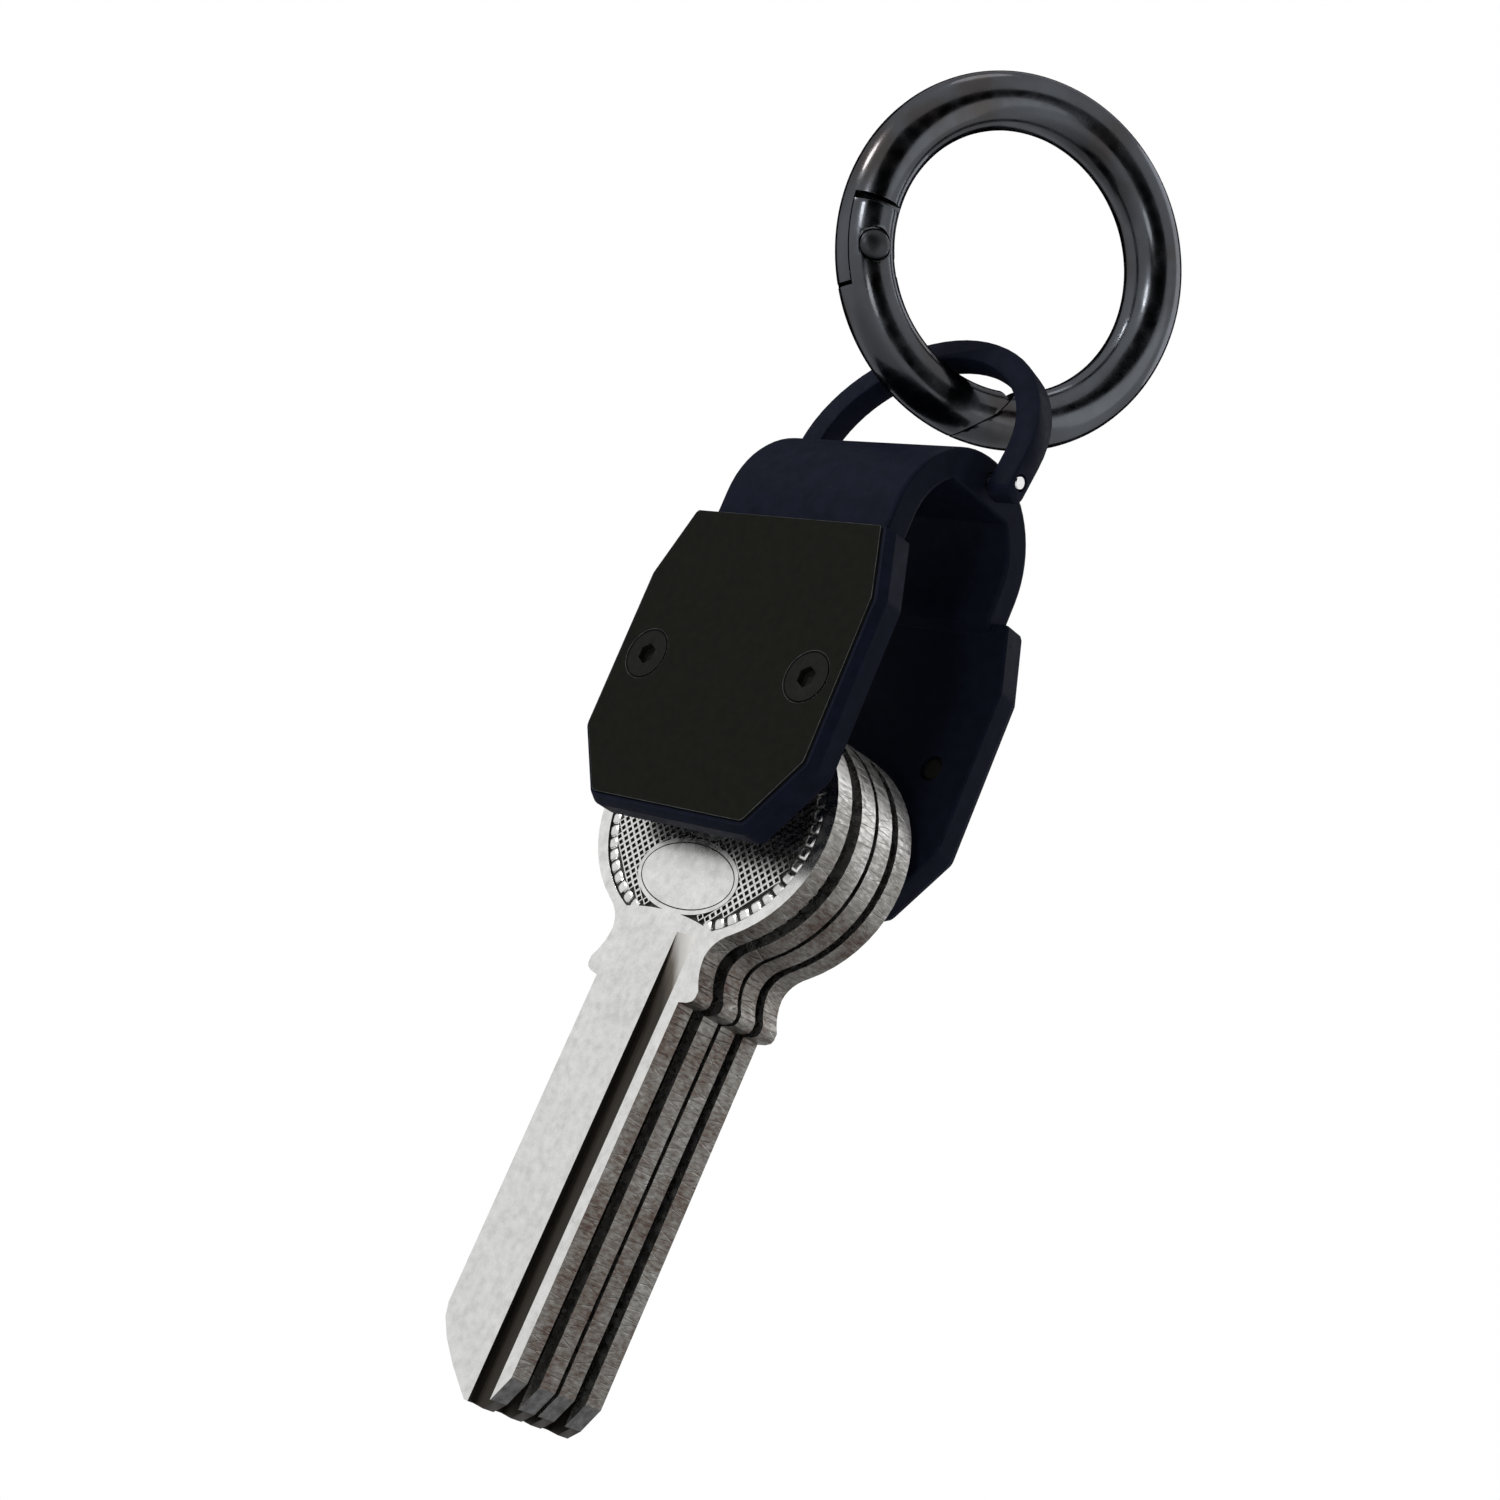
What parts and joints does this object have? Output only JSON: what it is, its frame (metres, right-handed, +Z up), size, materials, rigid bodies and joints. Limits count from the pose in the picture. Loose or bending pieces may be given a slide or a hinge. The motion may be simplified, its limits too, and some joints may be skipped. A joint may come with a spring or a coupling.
{
  "type": "key organizer",
  "caption": "U-shaped metal clip with two eight-sided plates that carries keys on a post between its arms, hung by a D shackle from a spring-gate ring.",
  "frame": {"origin": "hang point, at the inside top of the ring; everything hangs below it", "axes": "+Z up, +X to the right seen from the front plate, -Y out of the front plate"},
  "size_m": [0.0234, 0.0268, 0.1077],
  "materials": {
    "navy_metal": "satin black with a navy tint",
    "plate": "matte olive black",
    "screw": "black",
    "steel": "plain turned steel",
    "pin_steel": "bright",
    "spring_steel": "drawn wire",
    "gunmetal": "polished gunmetal plating",
    "rivet": "dark polished",
    "nickel_silver": "plain nickel silver, light grey"
  },
  "bodies": {
    "ring": {"ring_body": "gunmetal", "ring_rivet": "rivet"},
    "gate": {"ring_gate": "gunmetal", "gate_spring": "spring_steel"},
    "shackle": {"shackle": "navy_metal", "shackle_pin": "pin_steel"},
    "clip": {"u_frame": "navy_metal", "front_plate": "plate", "rear_plate": "plate", "plate_screw_front_left": "screw", "plate_screw_front_right": "screw", "plate_screw_rear_left": "screw", "plate_screw_rear_right": "screw", "key_post": "steel", "key_post_screw": "steel", "front_spacer": "steel", "key_washer_1_2": "steel", "key_washer_2_3": "steel", "key_washer_3_4": "steel", "rear_spacer": "steel"},
    "key_1": {"key_1": "nickel_silver"},
    "key_2": {"key_2": "nickel_silver"},
    "key_3": {"key_3": "nickel_silver"},
    "key_4": {"key_4": "nickel_silver"}
  },
  "joints": [
    {"name": "gate_hinge", "type": "hinge", "parent": "ring", "child": "gate", "pos_m": [-0.00564, -0.00967, -0.0152], "axis": [0.9075, -0.4136, -0.0732], "range_deg": [0, 20], "stiffness_Nm_per_rad": 0.05, "springref_deg": -28.65},
    {"name": "shackle_round_ring", "type": "hinge", "parent": "gate", "child": "shackle", "pos_m": [-0.00067, 0.00031, -0.01002], "axis": [-0.9075, 0.4136, 0.0732], "range_deg": [-315, 45]},
    {"name": "clip_on_pin", "type": "hinge", "parent": "shackle", "child": "clip", "pos_m": [-0.00067, -0.00162, -0.0298], "axis": [1, 0, 0], "range_deg": [-80, 70]},
    {"name": "key_1_swing", "type": "hinge", "parent": "clip", "child": "key_1", "pos_m": [-0.00067, -0.01082, -0.0561], "axis": [0, 1, 0], "range_deg": [-140, 140]},
    {"name": "key_2_swing", "type": "hinge", "parent": "clip", "child": "key_2", "pos_m": [-0.00067, -0.01082, -0.0561], "axis": [0, 1, 0], "range_deg": [-140, 140]},
    {"name": "key_3_swing", "type": "hinge", "parent": "clip", "child": "key_3", "pos_m": [-0.00067, -0.01082, -0.0561], "axis": [0, 1, 0], "range_deg": [-140, 140]},
    {"name": "key_4_swing", "type": "hinge", "parent": "clip", "child": "key_4", "pos_m": [-0.00067, -0.01082, -0.0561], "axis": [0, 1, 0], "range_deg": [-140, 140]}
  ]
}
